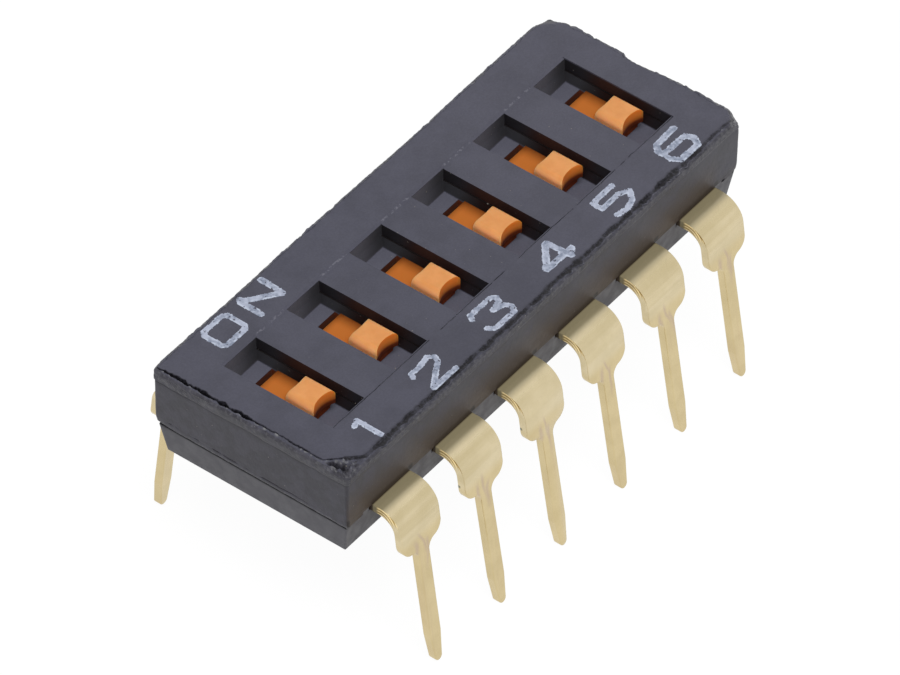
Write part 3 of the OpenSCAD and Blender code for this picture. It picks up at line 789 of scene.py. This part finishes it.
def strip_cutter(x0, x1, half_y):
    """The shallow strip over the windows, with ragged long sides.

    A fine groove runs along the numbered side, and the ON side slopes. Each is a list of steps
    outward from the windows' ends, with the drop below the top.
    """
    rows = []
    groove = ((-1.0, STRIP_DROP), (-0.012, STRIP_DROP), (0.0, STRIP_DROP + 0.05),
              (0.034, STRIP_DROP + 0.05), (0.042, -1.0))
    slope = ((-1.0, STRIP_DROP), (-0.09, STRIP_DROP), (0.0, 0.6 * STRIP_DROP),
             (0.06, 0.002), (0.066, -1.0))
    count = int((x1 - x0) / 0.05)
    for i in range(count + 1):
        x = x0 + (x1 - x0) * i / count
        row = []
        for side in (-1, 1):
            wave = 0.012 * rough(31, x, side, 0.5) + 0.008 * rough(32, x, side, 0.12)
            gap = max(0.0, min(1.0, 0.35 + 1.6 * rough(33, x, side, 0.55)))
            if min(abs(x - pole_x(k)) for k in range(POLES)) < WINDOW_W / 2 + 0.05:
                gap = max(gap, 0.8)
            part = []
            for out, drop in groove if side < 0 else slope:
                if drop > STRIP_DROP:
                    drop = STRIP_DROP + (drop - STRIP_DROP) * gap
                part.append((x, side * (half_y + out + wave if out > -1 else 0.8), TOP - drop))
            row += part if side < 0 else part[::-1]
        rows.append(row)
    depth = len(rows[0])
    points = [p for row in rows for p in row]
    faces = [(i * depth + k, i * depth + (k + 1) % depth,
              (i + 1) * depth + (k + 1) % depth, (i + 1) * depth + k)
             for i in range(count) for k in range(depth)]
    faces += [tuple(range(depth)), tuple(count * depth + k for k in reversed(range(depth)))]
    mesh = bmesh.new()
    verts = [mesh.verts.new(p) for p in points]
    for face in faces:
        mesh.faces.new([verts[k] for k in face])
    bmesh.ops.triangulate(mesh, faces=[f for f in mesh.faces if len(f.verts) > 4])
    bmesh.ops.recalc_face_normals(mesh, faces=mesh.faces)
    mesh.verts.index_update()
    points = [tuple(v.co) for v in mesh.verts]
    faces = [tuple(v.index for v in f.verts) for f in mesh.faces]
    mesh.free()
    return points, faces


# ---------------------------------------------------------------- print

# strokes of each character from its middle, in millimetres
GLYPHS = {
    "1": [[(-0.17, 0.32), (0.03, 0.39)], [(0.03, 0.39), (0.01, -0.37)]],
    "2": [[(-0.48, 0.20), (-0.42, 0.33), (-0.13, 0.31), (0.29, 0.38), (0.42, 0.25), (0.35, 0.08),
           (-0.45, -0.41), (0.44, -0.42)]],
    "3": [[(-0.52, 0.28), (-0.44, 0.41), (0.38, 0.40), (0.47, 0.29), (0.40, 0.15), (0.05, 0.08)],
          [(0.05, 0.08), (0.40, -0.03), (0.48, -0.19), (0.37, -0.36), (-0.42, -0.35),
           (-0.52, -0.19)]],
    "4": [[(0.19, 0.47), (-0.51, -0.11), (0.49, -0.13)], [(0.23, 0.48), (0.285, -0.29)],
          [(0.2, -0.05), (0.4, -0.2)]],
    "5": [[(0.35, 0.42), (-0.43, 0.41), (-0.48, 0.27), (-0.46, 0.09), (0.20, 0.11), (0.50, -0.05),
           (0.27, -0.29), (-0.05, -0.40), (-0.40, -0.32)]],
    "6": [[(0.43, 0.43), (-0.32, 0.41), (-0.48, 0.25), (-0.50, -0.17), (-0.35, -0.41),
           (0.35, -0.40), (0.49, -0.18), (0.37, 0.04), (-0.45, 0.07)]],
    "O": [[(-0.36, 0.37), (0.36, 0.37), (0.46, 0.28), (0.46, -0.28), (0.36, -0.37),
           (-0.36, -0.37), (-0.46, -0.28), (-0.46, 0.28), (-0.36, 0.37)]],
    "N": [[(-0.46, -0.37), (-0.46, 0.30), (-0.38, 0.37)], [(-0.44, 0.33), (0.42, -0.31)],
          [(0.45, -0.31), (0.49, 0.39)]],
}
# width of the strokes, and the share of it that some characters came out with
STROKE = 0.165
INK_SPREAD = {"2": 0.93, "3": 0.95, "4": 1.15, "6": 1.1, "N": 1.13}
# the ink's upper side, its thickness, its grid and how far that reaches from a character's middle
INK_Z, INK_T = TOP - 0.001, 0.01
INK_CELL, INK_REACH = 0.02, 0.66
# the line of the numerals, how far they stand beside the switches, and the letters' middles
DIGIT_Y, DIGIT_SHIFT = -2.48, -0.13
LETTERS = {"O": (-6.02, 2.47), "N": (-4.54, 2.47)}


def distance_to(p, stroke):
    best = math.inf
    for a, b in zip(stroke, stroke[1:]):
        dx, dy = b[0] - a[0], b[1] - a[1]
        t = ((p[0] - a[0]) * dx + (p[1] - a[1]) * dy) / (dx * dx + dy * dy)
        t = max(0.0, min(1.0, t))
        best = min(best, math.hypot(p[0] - a[0] - t * dx, p[1] - a[1] - t * dy))
    return best


def print_glyph(name, key, middle, material):
    """One printed character: a thin sheet of ink with a ragged outline and a few bare spots."""
    cell, reach = INK_CELL, INK_REACH
    half = STROKE / 2 * INK_SPREAD.get(key, 1.0)
    count = int(2 * reach / cell)
    points, faces, index, rims = [], [], {}, []
    for i in range(count):
        for j in range(count):
            u, v = -reach + cell * (i + 0.5), -reach + cell * (j + 0.5)
            d = min(distance_to((u, v), stroke) for stroke in GLYPHS[key])
            x, y = middle[0] + u, middle[1] + v
            ragged = 0.016 * rough(41, x, y, 0.2) + 0.008 * rough(42, x, y, 0.06)
            bare = rough(43, x, y, 0.1) > 0.62
            if d > half + ragged or bare:
                continue
            corners = []
            for a, b in ((i, j), (i + 1, j), (i + 1, j + 1), (i, j + 1)):
                if (a, b) not in index:
                    index[a, b] = len(points)
                    px, py = middle[0] - reach + cell * a, middle[1] - reach + cell * b
                    points.append((px + 0.006 * rough(44, px, py, 0.05),
                                   py + 0.006 * rough(45, px, py, 0.05), INK_Z))
                    rims.append(d / half)
                corners.append(index[a, b])
            faces.append(corners)
    piece = new_piece(name, points, faces, material)
    piece.data.attributes.new("rim", "FLOAT", "POINT").data.foreach_set("value", rims)
    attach(piece, "housing")
    sheet = piece.modifiers.new("thickness", "SOLIDIFY")
    sheet.thickness = INK_T * MM
    sheet.offset = -1


def add_print():
    material = ink_material()
    places = {str(i + 1): (pole_x(i) + DIGIT_SHIFT, DIGIT_Y) for i in range(POLES)}
    for key, middle in (places | LETTERS).items():
        print_glyph(f"print_{key}", key, middle, material)


# ---------------------------------------------------------------- carried-over nodes

def soften(node):
    """Gives a CAD node's edges a small radius."""
    weld = node.modifiers.new("weld", "WELD")
    weld.merge_threshold = 1e-6
    planar = node.modifiers.new("planar", "DECIMATE")
    planar.decimate_type = "DISSOLVE"
    planar.angle_limit = math.radians(0.5)
    bevel = node.modifiers.new("bevel", "BEVEL")
    bevel.width = EDGE_RADIUS * MM
    bevel.segments = 2
    bevel.limit_method = "ANGLE"
    bevel.angle_limit = math.radians(35)


def dress_nodes():
    """Materials for the CAD's own nodes, and soft edges for all but the hidden springs."""
    looks = {"base": base_material(), "slider": slider_material(),
             "terminal": terminal_material(), "contact": contact_material()}
    for name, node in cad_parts.items():
        for key, material in looks.items():
            if key in name:
                node.data.materials.clear()
                node.data.materials.append(material)
                if key != "contact":
                    soften(node)


# ---------------------------------------------------------------- floor and world

# the floor: its width in metres, its colour, and the share and strength of its white glow
FLOOR_SIZE, FLOOR_COLOUR, FLOOR_SHARE, FLOOR_GLOW = 1.6, (0.82, 0.82, 0.82, 1), 0.92, 1.04
# strength of the world's light on the object
SKY = 0.35


def add_floor():
    """A plane under the legs: white to the camera and in reflections, with the object's shadow."""
    bpy.ops.mesh.primitive_plane_add(size=FLOOR_SIZE, location=(0, 0, cad_bounds[0].z))
    floor = bpy.context.object
    floor.name = "floor"
    m = Nodes("floor")
    m.finish(Base_Color=FLOOR_COLOUR, Roughness=0.9)
    path = m.add("ShaderNodeLightPath")
    seen = m.math("MAXIMUM", path.outputs["Is Camera Ray"], path.outputs["Is Glossy Ray"])
    seen = m.math("MAXIMUM", seen, path.outputs["Is Transmission Ray"])
    share = m.math("MULTIPLY", seen, FLOOR_SHARE)
    glow = m.add("ShaderNodeEmission")
    glow.inputs["Strength"].default_value = FLOOR_GLOW
    mixed = m.add("ShaderNodeMixShader")
    m.put(mixed.inputs[0], share)
    m.put(mixed.inputs[1], m.shader.outputs[0])
    m.put(mixed.inputs[2], glow.outputs[0])
    m.put(m.out.inputs[0], mixed.outputs[0])
    floor.data.materials.append(m.material)


def add_world():
    """White to the camera, in reflections and through glass; SKY is its light on the object."""
    world = bpy.data.worlds.new("world")
    bpy.context.scene.world = world
    world.use_nodes = True
    nodes, links = world.node_tree.nodes, world.node_tree.links
    sky = nodes["Background"]
    sky.inputs["Color"].default_value = (1, 1, 1, 1)
    path = nodes.new("ShaderNodeLightPath")
    level = None
    for ray in ("Is Camera Ray", "Is Glossy Ray", "Is Transmission Ray"):
        more = nodes.new("ShaderNodeMath")
        more.operation = "MULTIPLY_ADD"
        links.new(path.outputs[ray], more.inputs[0])
        more.inputs[1].default_value = 1 - SKY
        more.inputs[2].default_value = SKY
        if level is not None:
            links.new(level, more.inputs[2])
        level = more.outputs[0]
    links.new(level, sky.inputs["Strength"])


# ---------------------------------------------------------------- the scene

add_camera()
add_floor()
add_world()
add_lamp("key", azimuth=-42, elevation=64, distance=0.35, size=0.2, power=0.95)
add_cover()
add_print()
dress_nodes()
bpy.context.scene.view_settings.view_transform = "Standard"
